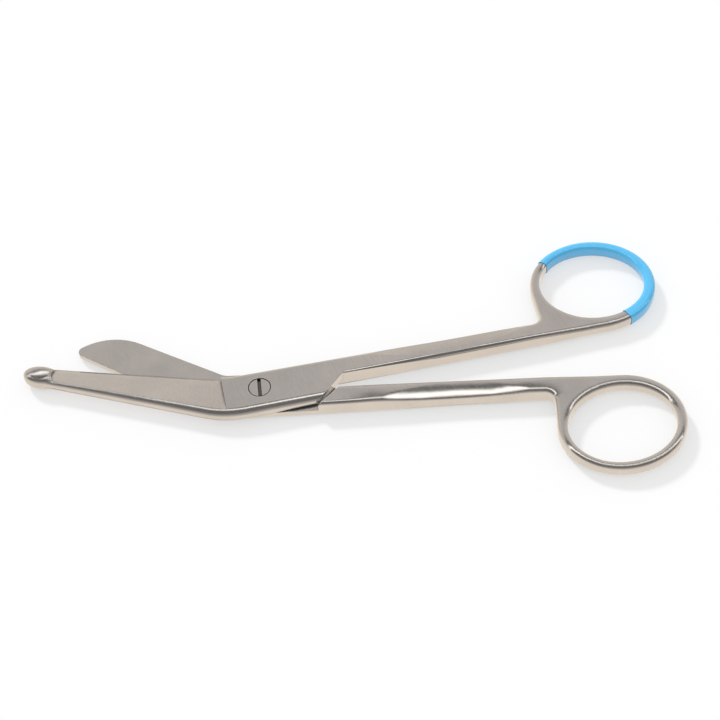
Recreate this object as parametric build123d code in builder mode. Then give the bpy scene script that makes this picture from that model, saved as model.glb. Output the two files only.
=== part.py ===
import os
from math import atan, cos, degrees, radians, sin, sqrt, tan

from build123d import *

# Bandage scissors, in millimetres: two forged halves lapped at a slotted pivot screw.
# The origin is on the pivot axis at the plane that the scissors lie on, +X runs between
# the handles towards the finger rings, and +Z is up. Each half is drawn in a frame of its
# own: x along its handle from the pivot, y outwards to its finger ring, z towards its own
# layer of the joint. The plain half's frame is the guard half's, turned over and shut.

# Whole tool
thickness = 5.2
contact_gap = 0.04
handle_line = -0.65
rest_half_angle = 5.2
shut_half_angle = 1.2
stop_gap = 0.06
hidden_stop_gap = 0.95

# Shanks
grip_start_x = 12.0
joint_half_width = 6.5
joint_back_width = 7.15
neck_x = 79.0
neck_half_width = 5.1
inner_gap = 0.08
back_radius = 2.25
flat_slope = 0.02
neck_thickness = 4.9
taper_start_x = 27.0
taper_end_x = 92.0
ring_thickness = 3.8

# Crown of the shanks: stock taken off their outer sides, none of it at the joint or the web
crown_start_x = 28.0
crown_full_x = 46.0
crown_late_x = 64.0
crown_end_x = 80.0
crown_radius = 14.0
crown_y = 0.9
crown_lift = 0.35

# Finger rings
ring_x = 98.5
ring_y = 16.1
hole_long_radius = 14.85
hole_short_radius = 12.6
ring_tilt = -12.0
wire_width = 2.75
inner_extra_width = 1.0
wire_flat = 0.36
web_corner_radius = 2.8

# Lapped joint
shoulder_x = 22.3
shoulder_angle = 45.0
plate_end_x = 28.0

# Guard blade, with its cutting edge on the side of its own ring
bend_x = -8.2
bend_radius = 9.0
guard_edge_tip = (-57.0, 22.85)
guard_back_tip = (-59.0, 16.95)
guard_heel_x = -11.0
heel_radius = 26.0

# Plain blade, wide and round-ended, with its back on the side away from its ring
plain_bend_x = -10.1
plain_bend_radius = 5.0
plain_back_tip = (-34.7, -20.2)
plain_edge_tip = (-53.3, -18.1)
plain_tip_radius = 1.6
plain_heel_x = -11.5
plain_heel_radius = 3.0

# Ground faces of both blades: the stock left at the edge and off the back, heel then tip
grind_start_x = -10.0
grind_end_x = -62.0
guard_lands = ((0.35, -0.5), (0.35, 0.25))
plain_lands = ((2.1, 0.1), (1.5, 0.1))

# Blunt nose of the guard blade
nose_center = (-59.1, 20.25)
nose_length = 10.5
nose_width = 6.3
nose_thickness = 4.6
nose_angle = 157.5
nose_round_share = 0.95
grind_stop = (-56.5, 19.1)
grind_stop_radius = 3.6

# Pivot screw
screw_head_diameter = 6.1
screw_head_height = 1.4
screw_shaft_diameter = 4.2
screw_thread_diameter = 3.4
head_side_gap = 0.15
head_seat_gap = 0.03
head_recess = 0.04
shaft_gap = 0.05
thread_gap = 0.02
slot_width = 1.0
slot_depth = 0.7
slot_angle = 90.0
screw_edge_break = 0.12

# Coat on the guard half's ring
coat_thickness = 0.12
coat_gap = 0.02
coat_start_angle = -64.0
coat_end_angle = 140.0
coat_sector_steps = 4

# Worked out from the sizes above
lap = thickness / 2
edge_radius = (wire_width - wire_flat) / 2
layer_start = lap + contact_gap / 2
layer_height = thickness - layer_start
side_steps = (
    (0, thickness),
    (taper_start_x, thickness),
    (neck_x, neck_thickness),
    (taper_end_x, ring_thickness),
)
outer_long_radius = hole_long_radius + wire_width
outer_short_radius = hole_short_radius + wire_width + inner_extra_width / 2
outer_y = ring_y - inner_extra_width / 2
screw_top = thickness - head_recess
head_bottom = screw_top - screw_head_height
seat_depth = thickness - head_bottom + head_seat_gap
nose_round = nose_round_share * min(nose_thickness / 2, nose_width**2 / nose_length / 2)
span = 2 * (ring_x + outer_long_radius)


def half_frame(turned_over, half_angle):
    """The drawing frame of one half, opened by an angle about the pivot."""
    turn = radians(half_angle)
    along = (cos(turn), sin(turn), 0)
    across = (-sin(turn) * handle_line, cos(turn) * handle_line)
    if turned_over:
        return Plane(origin=(*across, thickness), x_dir=along, z_dir=(0, 0, -1))
    return Plane(origin=(*across, 0), x_dir=along, z_dir=(0, 0, 1))


guard_frame = half_frame(False, rest_half_angle)
plain_frame = half_frame(True, -rest_half_angle)
guard_frame_shut = half_frame(False, 2 * shut_half_angle - rest_half_angle)
plain_frame_shut = half_frame(True, rest_half_angle - 2 * shut_half_angle)


def outer_line(x):
    """The outer side of joint and shank: one straight taper down to the ring's neck."""
    return joint_half_width + (neck_half_width - joint_half_width) * x / neck_x


def lowest_angle(long_radius, short_radius):
    """Where a tilted ring ellipse is lowest, as the ellipse's own angle."""
    return degrees(atan(short_radius / long_radius / tan(radians(ring_tilt))))


def leftmost_angle(long_radius, short_radius):
    """Where a tilted ring ellipse is leftmost, as the ellipse's own angle."""
    return 180 - degrees(atan(short_radius / long_radius * tan(radians(ring_tilt))))


def draw_grip(frame):
    """Shank, web and ring in one outline, its inner side left proud for grinding flat."""
    low = lowest_angle(outer_long_radius, outer_short_radius)
    left = leftmost_angle(outer_long_radius, outer_short_radius)
    with BuildSketch(frame) as outline:
        with BuildLine():
            ring_side = EllipticalCenterArc(
                (ring_x, outer_y),
                outer_long_radius,
                outer_short_radius,
                start_angle=low,
                arc_size=left - low,
                rotation=ring_tilt,
            )
            web_x = (ring_side @ 1).X
            web_side = Line(ring_side @ 1, (web_x, outer_line(web_x)))
            shank_side = Line(web_side @ 1, (grip_start_x, outer_line(grip_start_x)))
            end_side = Line(shank_side @ 1, (grip_start_x, (ring_side @ 0).Y))
            Line(end_side @ 1, ring_side @ 0)
        make_face()
        corner = outline.vertices().sort_by_distance((web_x, outer_line(web_x)))[0]
        fillet(corner, radius=web_corner_radius)
        with Locations((ring_x, ring_y)):
            Ellipse(hole_long_radius, hole_short_radius, rotation=ring_tilt, mode=Mode.SUBTRACT)
    return outline.sketch


def draw_shoulder(frame, gap, end_x):
    """The joint's area from the shoulder line, where full thickness starts, to an end."""
    lean = 1 / tan(radians(shoulder_angle))
    start = shoulder_x - gap / sin(radians(shoulder_angle))
    above = 2 * joint_half_width
    with BuildSketch(frame) as shoulder:
        with BuildLine():
            Polyline(
                (start + above * lean, -above),
                (start - above * lean, above),
                (end_x, above),
                (end_x, -above),
                close=True,
            )
        make_face()
    return shoulder.sketch


def draw_side(frame, extra):
    """The grip seen from its side: full thickness at the joint, thinner at the ring."""
    steps = (*side_steps, (span, ring_thickness))
    low = [(x, (thickness - height) / 2 - extra) for x, height in steps]
    high = [(x, (thickness + height) / 2 + extra) for x, height in steps]
    with BuildSketch(Plane(origin=frame.origin, x_dir=frame.x_dir, z_dir=-frame.y_dir)) as side:
        with BuildLine():
            Polyline(*low, *reversed(high), close=True)
        make_face()
    return side.sketch


def along(frame, point):
    """How far along a half's handle a point lies."""
    return frame.to_local_coords(point).X


def line_at(x, start, end):
    """The height of a straight line through two points of a drawing."""
    return start[1] + (end[1] - start[1]) * (x - start[0]) / (end[0] - start[0])


def half_height(x):
    """Half the grip's thickness at a distance along the handle."""
    for start, end in zip(side_steps, side_steps[1:]):
        if x <= end[0]:
            return line_at(x, start, end) / 2
    return ring_thickness / 2


def make_crown(frame, side):
    """The stock above the crowned shank on one side of the grip, clear of it at both ends."""
    flat_radius = span
    steps = (
        (crown_start_x, flat_radius, crown_lift),
        (crown_full_x, crown_radius, 0),
        (crown_late_x, crown_radius, 0),
        (crown_end_x, flat_radius, crown_lift),
    )
    places = (-joint_half_width, crown_y, joint_back_width)
    with BuildPart() as crown:
        for x, radius, lift in steps:
            top = half_height(x) + lift
            drops = [radius - sqrt(radius**2 - (y - crown_y) ** 2) for y in places]
            points = [(y, side * (top - drop)) for y, drop in zip(places, drops)]
            across = Plane(
                origin=frame.from_local_coords((x, 0, lap)), x_dir=frame.y_dir, z_dir=frame.x_dir
            )
            with BuildSketch(across):
                with BuildLine():
                    ThreePointArc(*points)
                    Polyline(
                        points[-1],
                        (places[-1], side * thickness),
                        (places[0], side * thickness),
                        points[0],
                    )
                make_face()
        loft()
    return crown.part


def find_rim(frame, faces):
    """The upper and lower edges of a grip's upright walls, without its cut end."""
    start = grip_start_x + contact_gap
    walls = [
        face
        for face in faces
        if along(frame, face.center()) > start and abs(face.normal_at().Z) < flat_slope
    ]
    edges = [edge for wall in walls for edge in wall.edges()]
    return [edge for edge in edges if abs((edge % 0.5).Z) < cos(radians(shoulder_angle))]


def make_grip(frame):
    """Shank, web and ring of one half, rounded all round, its inner side flat at the joint."""
    turn = -radians(shut_half_angle)
    middle = Plane(
        origin=frame.from_local_coords((0, inner_gap - handle_line, 0)),
        z_dir=frame.y_dir * cos(turn) - frame.x_dir * sin(turn),
    )
    with BuildPart() as grip:
        extrude(draw_grip(frame), amount=thickness)
        extrude(draw_side(frame, 0), amount=span, both=True, mode=Mode.INTERSECT)
        fillet(find_rim(frame, grip.faces()), radius=edge_radius)
        for side in (-1, 1):
            add(make_crown(frame, side), mode=Mode.SUBTRACT)
        split(bisect_by=middle, keep=Keep.TOP)
        extrude(draw_shoulder(frame, 0, -span), amount=layer_start, mode=Mode.SUBTRACT)
    return grip.part


def make_plate(frame, other_frame_shut, gap, outline, rims):
    """Joint plate and blade of one half in its own layer, ended clear of the other shank."""
    with BuildPart() as plate:
        extrude(outline, amount=layer_height)
        for side, radius in rims:
            fillet(find_edge(frame, plate.faces(), side), radius=radius)
        other_shank = draw_shoulder(other_frame_shut, gap, span)
        extrude(other_shank, amount=thickness, mode=Mode.SUBTRACT)
    return plate.part


def find_edge(frame, faces, side):
    """The straight edge of a joint plate's far face on one side of the joint."""
    far_face = faces.sort_by(Axis(frame.origin, frame.z_dir))[-1]
    return far_face.edges().sort_by_distance(frame.from_local_coords((0, side, thickness)))[0]


def make_grind(frame, edge_line, back_line, lands):
    """The stock ground off a blade: a ruled wedge from its back down to its cutting edge."""
    with BuildPart() as stock:
        for x, (edge_land, back_land) in zip((grind_start_x, grind_end_x), lands):
            edge_y = line_at(x, *edge_line)
            back_y = line_at(x, *back_line)
            edge_z = layer_start + edge_land
            back_z = thickness - back_land
            rise = (back_z - edge_z) / (edge_y - back_y) * lap
            across = Plane(
                origin=frame.from_local_coords((x, 0, 0)), x_dir=frame.y_dir, z_dir=frame.x_dir
            )
            with BuildSketch(across):
                with BuildLine():
                    Polyline(
                        (edge_y + lap, edge_z - rise),
                        (back_y - lap, back_z + rise),
                        (back_y - lap, 2 * thickness),
                        (edge_y + lap, 2 * thickness),
                        close=True,
                    )
                make_face()
        loft(ruled=True)
    return stock.part


def make_ring(frame, extra):
    """The ring's wire alone, grown by an amount all round, for the coat that sleeves it."""
    with BuildPart() as ring:
        with BuildSketch(frame.offset(-extra)):
            with Locations((ring_x, outer_y)):
                Ellipse(outer_long_radius + extra, outer_short_radius + extra, rotation=ring_tilt)
            with Locations((ring_x, ring_y)):
                Ellipse(
                    hole_long_radius - extra,
                    hole_short_radius - extra,
                    rotation=ring_tilt,
                    mode=Mode.SUBTRACT,
                )
        extrude(amount=thickness + 2 * extra)
        extrude(draw_side(frame, extra), amount=span, both=True, mode=Mode.INTERSECT)
        fillet(find_rim(frame, ring.faces()), radius=edge_radius)
    return ring.part


# Guard half: blade with a blunt nose, upper joint plate, shank and coated ring
guard_edge_line = ((bend_x, outer_line(bend_x)), guard_edge_tip)
guard_back_line = ((guard_heel_x, -joint_back_width), guard_back_tip)

with BuildSketch(guard_frame.offset(layer_start)) as guard_outline:
    with BuildLine():
        Polyline(
            (grip_start_x, outer_line(grip_start_x)),
            *guard_edge_line,
            *reversed(guard_back_line),
            (plate_end_x, -joint_back_width),
            (plate_end_x, edge_radius),
            (grip_start_x, edge_radius),
            close=True,
        )
    make_face()
    for corner, radius in ((guard_edge_line[0], bend_radius), (guard_back_line[0], heel_radius)):
        fillet(guard_outline.vertices().sort_by_distance(corner)[0], radius=radius)

with BuildPart() as guard_run_out:
    add(make_grind(guard_frame, guard_edge_line, guard_back_line, guard_lands))
    with BuildSketch(guard_frame):
        with Locations((grind_stop[0] + nose_length, grind_stop[1])):
            SlotOverall(2 * nose_length, 2 * grind_stop_radius)
    extrude(amount=2 * thickness, mode=Mode.INTERSECT)

with BuildPart() as guard_nose:
    with BuildSketch(guard_frame.offset(thickness - nose_thickness)):
        with Locations(nose_center):
            Ellipse(nose_length / 2, nose_width / 2, rotation=nose_angle)
    extrude(amount=nose_thickness)
    fillet(guard_nose.faces().filter_by(Axis.Z).edges(), radius=nose_round)
    add(guard_run_out.part, mode=Mode.SUBTRACT)

with BuildPart() as guard_half:
    rims = ((-joint_back_width, back_radius), (joint_half_width, edge_radius))
    add(make_plate(guard_frame, plain_frame_shut, stop_gap, guard_outline.sketch, rims))
    guard_grind = make_grind(guard_frame, guard_edge_line, guard_back_line, guard_lands)
    add(guard_grind, mode=Mode.SUBTRACT)
    add(guard_nose.part)
    add(make_grip(guard_frame))
    with Locations((0, 0, thickness)):
        CounterBoreHole(
            radius=screw_shaft_diameter / 2 + shaft_gap,
            counter_bore_radius=screw_head_diameter / 2 + head_side_gap,
            counter_bore_depth=seat_depth,
            depth=thickness,
        )

# Plain half: wide flat blade, lower joint plate, shank and bare ring
plain_edge_line = ((plain_heel_x, outer_line(plain_heel_x)), plain_edge_tip)
plain_back_line = ((plain_bend_x, -joint_back_width), plain_back_tip)

with BuildSketch(plain_frame.offset(layer_start)) as plain_outline:
    with BuildLine():
        plain_back = Line(*plain_back_line)
        TangentArc(plain_back_tip, plain_edge_tip, tangent=plain_back % 1)
        Polyline(
            plain_edge_tip,
            plain_edge_line[0],
            (grip_start_x, outer_line(grip_start_x)),
            (grip_start_x, edge_radius),
            (plate_end_x, edge_radius),
            (plate_end_x, -joint_back_width),
            plain_back_line[0],
        )
    make_face()
    for corner, radius in (
        (plain_back_line[0], plain_bend_radius),
        (plain_edge_line[0], plain_heel_radius),
        (plain_edge_tip, plain_tip_radius),
    ):
        fillet(plain_outline.vertices().sort_by_distance(corner)[0], radius=radius)

with BuildPart() as plain_half:
    rims = ((-joint_back_width, edge_radius),)
    add(make_plate(plain_frame, guard_frame_shut, hidden_stop_gap, plain_outline.sketch, rims))
    plain_grind = make_grind(plain_frame, plain_edge_line, plain_back_line, plain_lands)
    add(plain_grind, mode=Mode.SUBTRACT)
    add(make_grip(plain_frame))
    with BuildSketch(Plane.XY):
        Circle(screw_thread_diameter / 2 + thread_gap)
    extrude(amount=thickness, mode=Mode.SUBTRACT)

# Pivot screw: slotted head in the guard half, its shoulder seated on the plain half
with BuildPart() as pivot_screw:
    with BuildSketch(Plane.XY):
        Circle(screw_thread_diameter / 2)
    extrude(amount=lap)
    with BuildSketch(Plane.XY.offset(thickness - layer_start)):
        Circle(screw_shaft_diameter / 2)
    extrude(amount=head_bottom - thickness + layer_start)
    with BuildSketch(Plane.XY.offset(head_bottom)):
        Circle(screw_head_diameter / 2)
    extrude(amount=screw_head_height)
    chamfer(pivot_screw.faces().sort_by(Axis.Z)[-1].edges(), length=screw_edge_break)
    with BuildSketch(Plane.XY.offset(screw_top - slot_depth)):
        Rectangle(2 * screw_head_diameter, slot_width, rotation=slot_angle)
    extrude(amount=thickness, mode=Mode.SUBTRACT)

# Coat: a thin sleeve over the outer part of the guard half's ring
with BuildSketch(guard_frame) as coated:
    sector_step = (coat_end_angle - coat_start_angle) / coat_sector_steps
    turns = [coat_start_angle + sector_step * step for step in range(coat_sector_steps + 1)]
    with BuildLine():
        Polyline(
            (ring_x, ring_y),
            *[
                (ring_x + span * cos(radians(turn)), ring_y + span * sin(radians(turn)))
                for turn in turns
            ],
            close=True,
        )
    make_face()

with BuildPart() as ring_coat:
    add(make_ring(guard_frame, coat_gap + coat_thickness))
    add(make_ring(guard_frame, coat_gap), mode=Mode.SUBTRACT)
    extrude(coated.sketch, amount=thickness, mode=Mode.INTERSECT)

guard_half.part.label = "guard_half"
plain_half.part.label = "plain_half"
pivot_screw.part.label = "pivot_screw"
ring_coat.part.label = "ring_coat"

os.makedirs("parts", exist_ok=True)
export_step(guard_half.part, "parts/guard_half.step")
export_step(plain_half.part, "parts/plain_half.step")
export_step(pivot_screw.part, "parts/pivot_screw.step")
export_step(ring_coat.part, "parts/ring_coat.step")
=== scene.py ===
import math

import bpy
from mathutils import Matrix, Vector

# lengths are in metres and angles in degrees, unless a note says otherwise
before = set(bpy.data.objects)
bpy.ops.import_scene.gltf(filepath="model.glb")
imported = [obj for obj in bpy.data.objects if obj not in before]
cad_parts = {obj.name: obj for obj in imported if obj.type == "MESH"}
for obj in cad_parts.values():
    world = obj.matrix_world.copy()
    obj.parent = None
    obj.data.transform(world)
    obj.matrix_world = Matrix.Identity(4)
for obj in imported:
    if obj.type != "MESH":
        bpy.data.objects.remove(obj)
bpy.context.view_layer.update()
print("frame loaded")

white = (1, 1, 1, 1)
noiseSpan = (0.3, 0.7)  # where nearly all values of a noise lie
ballFall = -0.5  # a ball's top falls by half the squared distance over its radius


def newMaterial(name):
    material = bpy.data.materials.new(name)
    material.use_nodes = True
    material.node_tree.nodes.clear()
    return material, material.node_tree


def addNode(tree, kind, **values):
    node = tree.nodes.new(kind)
    for key, value in values.items():
        if hasattr(node, key):
            setattr(node, key, value)
        else:
            node.inputs[key.replace("_", " ")].default_value = value
    return node


def addMath(tree, operation, first, second):
    node = addNode(tree, "ShaderNodeMath", operation=operation)
    for socket, value in zip(node.inputs, (first, second)):
        if isinstance(value, (int, float)):
            socket.default_value = value
        else:
            tree.links.new(value, socket)
    return node.outputs[0]


def addRange(tree, value, fromLow, fromHigh, toLow, toHigh):
    node = addNode(
        tree, "ShaderNodeMapRange",
        From_Min=fromLow, From_Max=fromHigh, To_Min=toLow, To_Max=toHigh,
    )
    tree.links.new(value, node.inputs["Value"])
    return node.outputs["Result"]


# a noise turned into a value that varies evenly about a middle
def addSpread(tree, noise, middle, spread):
    return addRange(tree, noise, *noiseSpan, middle - spread, middle + spread)


# colours at places along a value, from the first place to the last
def addRamp(tree, value, stops):
    low, high = stops[0][0], stops[-1][0]
    ramp = addNode(tree, "ShaderNodeValToRGB")
    tree.links.new(addRange(tree, value, low, high, 0, 1), ramp.inputs[0])
    elements = ramp.color_ramp.elements
    while len(elements) < len(stops):
        elements.new(0.5)  # its real place is set below
    for element, (place, colour) in zip(elements, stops):
        element.position = (place - low) / (high - low)
        element.color = (*colour, 1)
    return ramp.outputs["Color"]


# plain values at places along a value
def addStops(tree, value, stops):
    top = max(height for place, height in stops)
    greys = [(place, (height / top,) * 3) for place, height in stops]
    return addMath(tree, "MULTIPLY", addRamp(tree, value, greys), top)


def newGroup(name, inputs, output):
    group = bpy.data.node_groups.new(name, "ShaderNodeTree")
    for socketName in inputs:
        group.interface.new_socket(socketName, in_out="INPUT", socket_type="NodeSocketFloat")
    group.interface.new_socket(output, in_out="OUTPUT", socket_type="NodeSocketFloat")
    return group, addNode(group, "NodeGroupInput"), addNode(group, "NodeGroupOutput")


def addGroup(tree, group, **values):
    node = tree.nodes.new("ShaderNodeGroup")
    node.node_tree = group
    for key, value in values.items():
        node.inputs[key].default_value = value
    return node.outputs[0]


# looks down on the scissors from the handles' side, a little rolled
cameraValues = {
    "target": (0.02856, 0.0095, 0.0),  # on the floor
    "distance": 0.583,
    "elevation": 51.6,  # above the floor
    "azimuth": 1.3,
    "roll": -5.7,
    "sensor": 36.0,  # millimetres, as is the lens
    "lens": 103.75,
    "clipStart": 0.01,
    "clipEnd": 20.0,
}


def makeCamera(v):
    elevation, azimuth, roll = (math.radians(v[k]) for k in ("elevation", "azimuth", "roll"))
    flat = Vector((math.sin(azimuth), math.cos(azimuth), 0))
    right = Vector((math.cos(azimuth), -math.sin(azimuth), 0))
    look = flat * math.cos(elevation) - Vector((0, 0, math.sin(elevation)))
    up = right.cross(look)
    rightRolled = right * math.cos(roll) + up * math.sin(roll)
    upRolled = up * math.cos(roll) - right * math.sin(roll)
    camera = bpy.data.objects.new("camera", bpy.data.cameras.new("camera"))
    camera.data.sensor_width = v["sensor"]
    camera.data.lens = v["lens"]
    camera.data.clip_start = v["clipStart"]
    camera.data.clip_end = v["clipEnd"]
    turn = Matrix((rightRolled, upRolled, -look)).transposed()
    place = Vector(v["target"]) - look * v["distance"]
    camera.matrix_world = Matrix.Translation(place) @ turn.to_4x4()
    bpy.context.scene.collection.objects.link(camera)
    bpy.context.scene.camera = camera


floorValues = {
    "halfWidth": 3.0,
    "colour": (0.9, 0.9, 0.9, 1),
    "glowShare": 0.56,  # how much of the floor the camera sees as plain white
    "metalSees": (1.06, 0.95, 0.83, 1),  # the floor as the steel mirrors it
}


def makeFloor(v):
    w = v["halfWidth"]
    mesh = bpy.data.meshes.new("floor")
    mesh.from_pydata([(-w, -w, 0), (w, -w, 0), (w, w, 0), (-w, w, 0)], [], [(0, 1, 2, 3)])
    floor = bpy.data.objects.new("floor", mesh)
    bpy.context.scene.collection.objects.link(floor)
    material, tree = newMaterial("paleFloor")
    path = addNode(tree, "ShaderNodeLightPath")
    diffuse = addNode(tree, "ShaderNodeBsdfDiffuse", Color=v["colour"])
    glow = addNode(tree, "ShaderNodeEmission", Color=white, Strength=1.0)
    seen = addNode(tree, "ShaderNodeMixShader")
    shown = addMath(tree, "MULTIPLY", path.outputs["Is Camera Ray"], v["glowShare"])
    tree.links.new(shown, seen.inputs[0])
    tree.links.new(diffuse.outputs[0], seen.inputs[1])
    tree.links.new(glow.outputs[0], seen.inputs[2])
    warm = addNode(tree, "ShaderNodeEmission", Color=v["metalSees"], Strength=1.0)
    mirrored = addNode(tree, "ShaderNodeMixShader")
    tree.links.new(path.outputs["Is Glossy Ray"], mirrored.inputs[0])
    tree.links.new(seen.outputs[0], mirrored.inputs[1])
    tree.links.new(warm.outputs[0], mirrored.inputs[2])
    out = addNode(tree, "ShaderNodeOutputMaterial")
    tree.links.new(mirrored.outputs[0], out.inputs[0])
    floor.data.materials.append(material)


lightValues = {
    "strength": 1.95,
    "from": (-0.42, 0.72, 0.60),
    "softness": 9.0,
}


def makeLight(v):
    sun = bpy.data.objects.new("sun", bpy.data.lights.new("sun", "SUN"))
    sun.data.energy = v["strength"]
    sun.data.angle = math.radians(v["softness"])
    sun.rotation_euler = Vector(v["from"]).to_track_quat("Z", "Y").to_euler()
    sun.visible_glossy = False  # the steel mirrors the studio's bands only
    bpy.context.scene.collection.objects.link(sun)


# what the steel mirrors, by lean from straight up: minus is behind, plus is towards the camera
studioValues = {
    "ambient": 0.75,
    "bands": (
        (-90, (0.84, 0.78, 0.72)),
        (-58, (0.75, 0.69, 0.63)),
        (-44, (0.66, 0.62, 0.59)),
        (-35, (0.66, 0.62, 0.60)),
        (-28, (0.20, 0.20, 0.19)),
        (-18, (0.20, 0.20, 0.19)),
        (-12, (2.1, 2.02, 1.94)),
        (-7, (2.1, 2.02, 1.94)),
        (-1, (0.7, 0.68, 0.65)),
        (7, (0.18, 0.175, 0.17)),
        (48, (0.20, 0.19, 0.18)),
        (66, (0.45, 0.42, 0.40)),
        (90, (0.75, 0.70, 0.65)),
    ),
}


def makeWorld(v):
    world = bpy.data.worlds.new("studio")
    bpy.context.scene.world = world
    world.use_nodes = True
    tree = world.node_tree
    tree.nodes.clear()
    coords = addNode(tree, "ShaderNodeTexCoord")
    split = addNode(tree, "ShaderNodeSeparateXYZ")
    tree.links.new(coords.outputs["Generated"], split.inputs[0])
    towards = addMath(tree, "MULTIPLY", split.outputs["Y"], -1.0)
    lean = addMath(tree, "ARCTAN2", towards, split.outputs["Z"])
    bands = [(math.radians(angle), colour) for angle, colour in v["bands"]]
    path = addNode(tree, "ShaderNodeLightPath")
    backdrop = addNode(tree, "ShaderNodeBackground", Color=white, Strength=1.0)
    ambient = addNode(tree, "ShaderNodeBackground", Color=white, Strength=v["ambient"])
    studio = addNode(tree, "ShaderNodeBackground", Strength=1.0)
    tree.links.new(addRamp(tree, lean, bands), studio.inputs[0])
    seen = addNode(tree, "ShaderNodeMixShader")
    tree.links.new(path.outputs["Is Camera Ray"], seen.inputs[0])
    tree.links.new(ambient.outputs[0], seen.inputs[1])
    tree.links.new(backdrop.outputs[0], seen.inputs[2])
    mirrored = addNode(tree, "ShaderNodeMixShader")
    tree.links.new(path.outputs["Is Glossy Ray"], mirrored.inputs[0])
    tree.links.new(seen.outputs[0], mirrored.inputs[1])
    tree.links.new(studio.outputs[0], mirrored.inputs[2])
    out = addNode(tree, "ShaderNodeOutputWorld")
    tree.links.new(mirrored.outputs[0], out.inputs[0])


# fine lines left by grinding, drawn out along one direction
grainValues = {
    "detail": 3.0,
    "roughness": 0.6,
}


def makeGrainGroup(v):
    group, start, end = newGroup("brushedGrain", ("Angle", "Length", "Width"), "Value")
    coords = addNode(group, "ShaderNodeTexCoord")
    turn = addNode(group, "ShaderNodeVectorRotate", rotation_type="Z_AXIS")
    group.links.new(coords.outputs["Object"], turn.inputs["Vector"])
    group.links.new(start.outputs["Angle"], turn.inputs["Angle"])
    size = addNode(group, "ShaderNodeCombineXYZ")
    group.links.new(start.outputs["Length"], size.inputs["X"])
    for axis in "YZ":
        group.links.new(start.outputs["Width"], size.inputs[axis])
    stretch = addNode(group, "ShaderNodeVectorMath", operation="DIVIDE")
    group.links.new(turn.outputs[0], stretch.inputs[0])
    group.links.new(size.outputs[0], stretch.inputs[1])
    noise = addNode(
        group, "ShaderNodeTexNoise", Scale=1.0, Detail=v["detail"], Roughness=v["roughness"]
    )
    group.links.new(stretch.outputs[0], noise.inputs["Vector"])
    group.links.new(noise.outputs["Fac"], end.inputs["Value"])
    return group


# painted shade: ambient occlusion darkens the colour in narrow gaps, from open metal down to
# the piece's darkest crevice
paintedShadeValues = {
    "open": 0.9,  # how open a place has to be to keep its full tone
    "samples": 12,
}


def makePaintedShadeGroup(v):
    group, start, end = newGroup("paintedCreviceShade", ("Reach", "Dark", "Tone"), "Value")
    shade = addNode(group, "ShaderNodeAmbientOcclusion", samples=v["samples"])
    group.links.new(start.outputs["Reach"], shade.inputs["Distance"])
    rise = addNode(group, "ShaderNodeMapRange", From_Max=v["open"], To_Max=1.0)
    group.links.new(shade.outputs["AO"], rise.inputs["Value"])
    group.links.new(start.outputs["Dark"], rise.inputs["From Min"])
    group.links.new(start.outputs["Tone"], rise.inputs["To Min"])
    group.links.new(rise.outputs["Result"], end.inputs["Value"])
    return group


# the crown of a shank runs out softly towards the joint and the web
crownValues = {
    "line": -0.00065,  # where both handles' middle lines pass the pivot
    "start": 0.0009,  # from that line to where the crown begins
    "width": 0.0052,
    "radius": 0.0140,
    "shares": (  # how much of the crown is added, by distance from the pivot
        (0.0225, 0.0), (0.0310, 0.40), (0.0460, 0.0),
        (0.0635, 0.0), (0.0735, 0.75), (0.0840, 0.0),
    ),
}


def makeCrownGroup(v):
    group, start, end = newGroup("shankCrown", ("Turn", "Outwards"), "Height")
    coords = addNode(group, "ShaderNodeTexCoord")
    turn = addNode(group, "ShaderNodeVectorRotate", rotation_type="Z_AXIS")
    group.links.new(coords.outputs["Object"], turn.inputs["Vector"])
    group.links.new(start.outputs["Turn"], turn.inputs["Angle"])
    split = addNode(group, "ShaderNodeSeparateXYZ")
    group.links.new(turn.outputs[0], split.inputs[0])
    fromLine = addMath(group, "SUBTRACT", split.outputs["Y"], v["line"])
    outward = addMath(group, "MULTIPLY", fromLine, start.outputs["Outwards"])
    past = addRange(group, outward, v["start"], v["start"] + v["width"], 0, v["width"])
    share = addStops(group, split.outputs["X"], v["shares"])
    fall = addMath(group, "MULTIPLY", share, ballFall / v["radius"])
    height = addMath(group, "MULTIPLY", addMath(group, "MULTIPLY", past, past), fall)
    group.links.new(height, end.inputs["Height"])
    return group


# the low dome on top of the blunt nose
domeValues = {
    "centre": (-0.0603, 0.0170, 0.0),
    "turn": 162.7,  # from X to the blade's own direction
    "stretch": 0.85,  # its length along the blade for each unit of width
    "reach": 0.0049,
    "radius": 0.0105,
}


def addDome(tree, coords, v):
    place = addNode(
        tree, "ShaderNodeMapping", vector_type="TEXTURE",
        Location=v["centre"], Rotation=(0, 0, math.radians(v["turn"])),
        Scale=(v["stretch"], 1, 1),
    )
    tree.links.new(coords.outputs["Object"], place.inputs["Vector"])
    split = addNode(tree, "ShaderNodeSeparateXYZ")
    tree.links.new(place.outputs[0], split.inputs[0])
    sides = [split.outputs[axis] for axis in "XY"]
    squares = [addMath(tree, "MULTIPLY", side, side) for side in sides]
    near = addMath(tree, "MINIMUM", addMath(tree, "ADD", *squares), v["reach"] ** 2)
    return addMath(tree, "MULTIPLY", near, ballFall / v["radius"])


# steel of both halves and the screw: satin on joint and blades, smoother on shanks and rings
steelValues = {
    "colour": (0.62, 0.605, 0.59),
    "satinRoughness": 0.21,
    "polishRoughness": 0.15,
    "polishStart": 0.024,  # from the pivot
    "polishEnd": 0.034,
    "grainLength": 0.0030,
    "grainWidth": 0.00022,
    "grainRoughness": 0.06,
    "grainTone": 0.06,
    "grainHeight": 0.0000012,
    "cloudSize": 0.011,
    "cloudDetail": 3.0,
    "cloudTone": 0.05,
    # the painted shade in gaps: how far it looks and how dark it gets
    "paintedShadeReach": 0.0011,
    "paintedShadeTone": 0.12,
    "edgeSamples": 8,
}


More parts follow.
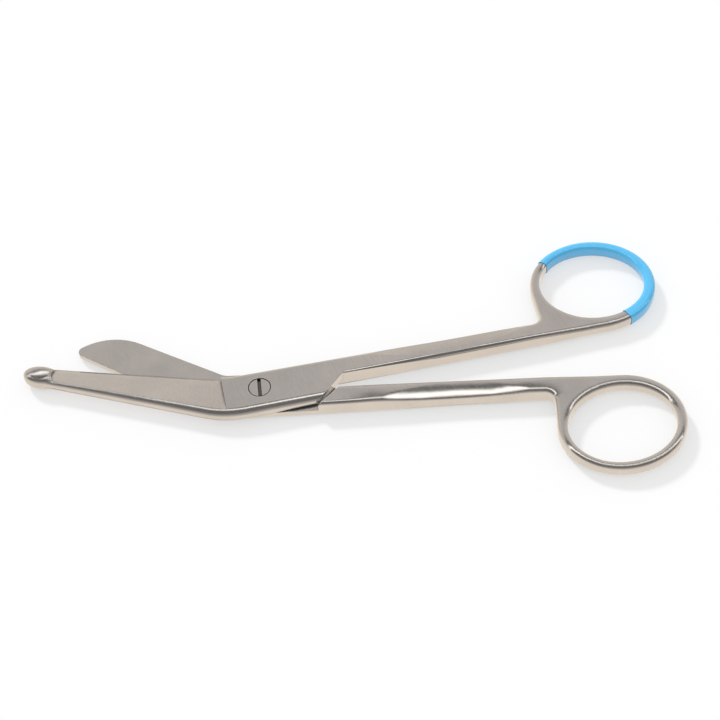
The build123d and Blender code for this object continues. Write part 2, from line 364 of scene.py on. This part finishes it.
def addSteelColour(tree, coords, grain, v, piece, groups):
    cloud = addNode(
        tree, "ShaderNodeTexNoise", Scale=1 / v["cloudSize"], Detail=v["cloudDetail"]
    )
    tree.links.new(coords.outputs["Object"], cloud.inputs["Vector"])
    # painted shade in gaps and recesses, multiplied into the colour below
    paintedShade = addGroup(
        tree, groups["paintedShade"],
        Reach=v["paintedShadeReach"], Dark=piece["paintedShadeDark"], Tone=v["paintedShadeTone"],
    )
    grainTone = addSpread(tree, grain, 1, v["grainTone"])
    cloudTone = addSpread(tree, cloud.outputs["Fac"], 1, v["cloudTone"])
    tone = addMath(tree, "MULTIPLY", grainTone, cloudTone)
    shade = addMath(tree, "MULTIPLY", tone, paintedShade)
    colour = addNode(tree, "ShaderNodeVectorMath", operation="SCALE")
    colour.inputs[0].default_value = v["colour"]
    tree.links.new(shade, colour.inputs["Scale"])
    return colour.outputs[0]


def addSteelNormal(tree, coords, along, grain, v, piece, groups):
    edge = addNode(tree, "ShaderNodeBevel", samples=v["edgeSamples"])
    tree.links.new(addStops(tree, along, piece["edges"]), edge.inputs["Radius"])
    height = addGroup(
        tree, groups["crown"],
        Turn=math.radians(-piece["handleTurn"]), Outwards=piece["outwards"],
    )
    if piece["nose"]:
        height = addMath(tree, "ADD", height, addDome(tree, coords, piece["nose"]))
    form = addNode(tree, "ShaderNodeBump", Strength=1.0, Distance=1.0)
    tree.links.new(height, form.inputs["Height"])
    tree.links.new(edge.outputs[0], form.inputs["Normal"])
    relief = addNode(tree, "ShaderNodeBump", Strength=1.0, Distance=v["grainHeight"])
    tree.links.new(grain, relief.inputs["Height"])
    tree.links.new(form.outputs[0], relief.inputs["Normal"])
    return relief.outputs[0]


def makeSteel(name, v, piece, groups):
    material, tree = newMaterial(name)
    coords = addNode(tree, "ShaderNodeTexCoord")
    split = addNode(tree, "ShaderNodeSeparateXYZ")
    tree.links.new(coords.outputs["Object"], split.inputs[0])
    along = split.outputs["X"]
    grain = addGroup(
        tree, groups["grain"],
        Angle=math.radians(piece["grainAngle"]),
        Length=v["grainLength"], Width=v["grainWidth"],
    )
    base = addRange(
        tree, along,
        v["polishStart"], v["polishEnd"], v["satinRoughness"], v["polishRoughness"],
    )
    roughness = addMath(tree, "ADD", base, addSpread(tree, grain, 0, v["grainRoughness"]))
    colour = addSteelColour(tree, coords, grain, v, piece, groups)
    normal = addSteelNormal(tree, coords, along, grain, v, piece, groups)
    shader = addNode(tree, "ShaderNodeBsdfPrincipled", Metallic=1.0)
    tree.links.new(colour, shader.inputs["Base Color"])
    tree.links.new(roughness, shader.inputs["Roughness"])
    tree.links.new(normal, shader.inputs["Normal"])
    out = addNode(tree, "ShaderNodeOutputMaterial")
    tree.links.new(shader.outputs[0], out.inputs[0])
    return material


# the thin moulded sleeve on the guard half's ring
coatValues = {
    "colour": (0.085, 0.51, 0.87, 1),
    "roughness": 0.15,
    "ior": 1.8,
    "mottleSize": 0.0009,
    "mottleDetail": 2.0,
    "mottleHeight": 0.000004,
    "edgeRadius": 0.0001,
    "edgeSamples": 4,
}


def makeCoat(name, v):
    material, tree = newMaterial(name)
    coords = addNode(tree, "ShaderNodeTexCoord")
    mottle = addNode(
        tree, "ShaderNodeTexNoise", Scale=1 / v["mottleSize"], Detail=v["mottleDetail"]
    )
    tree.links.new(coords.outputs["Object"], mottle.inputs["Vector"])
    edge = addNode(
        tree, "ShaderNodeBevel", samples=v["edgeSamples"], Radius=v["edgeRadius"]
    )
    relief = addNode(tree, "ShaderNodeBump", Strength=1.0, Distance=v["mottleHeight"])
    tree.links.new(mottle.outputs["Fac"], relief.inputs["Height"])
    tree.links.new(edge.outputs[0], relief.inputs["Normal"])
    shader = addNode(
        tree, "ShaderNodeBsdfPrincipled",
        Base_Color=v["colour"], Roughness=v["roughness"], IOR=v["ior"],
    )
    tree.links.new(relief.outputs[0], shader.inputs["Normal"])
    out = addNode(tree, "ShaderNodeOutputMaterial")
    tree.links.new(shader.outputs[0], out.inputs[0])
    return material


def dress(nodeName, material):
    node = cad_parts[nodeName]
    if not node.material_slots:
        node.data.materials.append(None)
    for slot in node.material_slots:
        slot.link = "OBJECT"
        slot.material = material


makeCamera(cameraValues)
makeFloor(floorValues)
makeLight(lightValues)
makeWorld(studioValues)
print("studio ready")

groups = {
    "grain": makeGrainGroup(grainValues),
    "paintedShade": makePaintedShadeGroup(paintedShadeValues),
    "crown": makeCrownGroup(crownValues),
}

# edges: how widely a piece's edges roll over in the shading, by place along X
guardHalfValues = {
    "grainAngle": 70.0,
    "nose": domeValues,
    "handleTurn": 5.2,
    "outwards": 1,
    # the openness at and below which a gap's painted shade is at its darkest
    "paintedShadeDark": 0.35,
    "edges": (
        (-0.0570, 0.0018), (-0.0540, 0.0013), (-0.0140, 0.0011), (-0.0080, 0.0004),
        (0.0240, 0.0003), (0.0320, 0.00012), (0.0740, 0.00012), (0.0880, 0.0014),
    ),
}
dress("guard_half", makeSteel("guard_halfSteel", steelValues, guardHalfValues, groups))

plainHalfValues = {
    "grainAngle": 62.0,
    "nose": None,
    "handleTurn": -5.2,
    "outwards": -1,
    "paintedShadeDark": 0.35,
    "edges": ((-0.0600, 0.0004), (0.0220, 0.0004), (0.0330, 0.0014)),
}
dress("plain_half", makeSteel("plain_halfSteel", steelValues, plainHalfValues, groups))

pivotScrewValues = {
    "grainAngle": 20.0,
    "nose": None,
    "handleTurn": 0.0,
    "outwards": 1,
    # the screw's slot and rim get their darkest painted shade sooner
    "paintedShadeDark": 0.60,
    "edges": ((-0.0030, 0.0002), (0.0030, 0.0002)),
}
dress("pivot_screw", makeSteel("pivot_screwSteel", steelValues, pivotScrewValues, groups))

dress("ring_coat", makeCoat("blueCoat", coatValues))
print("materials ready")

view = bpy.context.scene.view_settings
view.view_transform = "Standard"
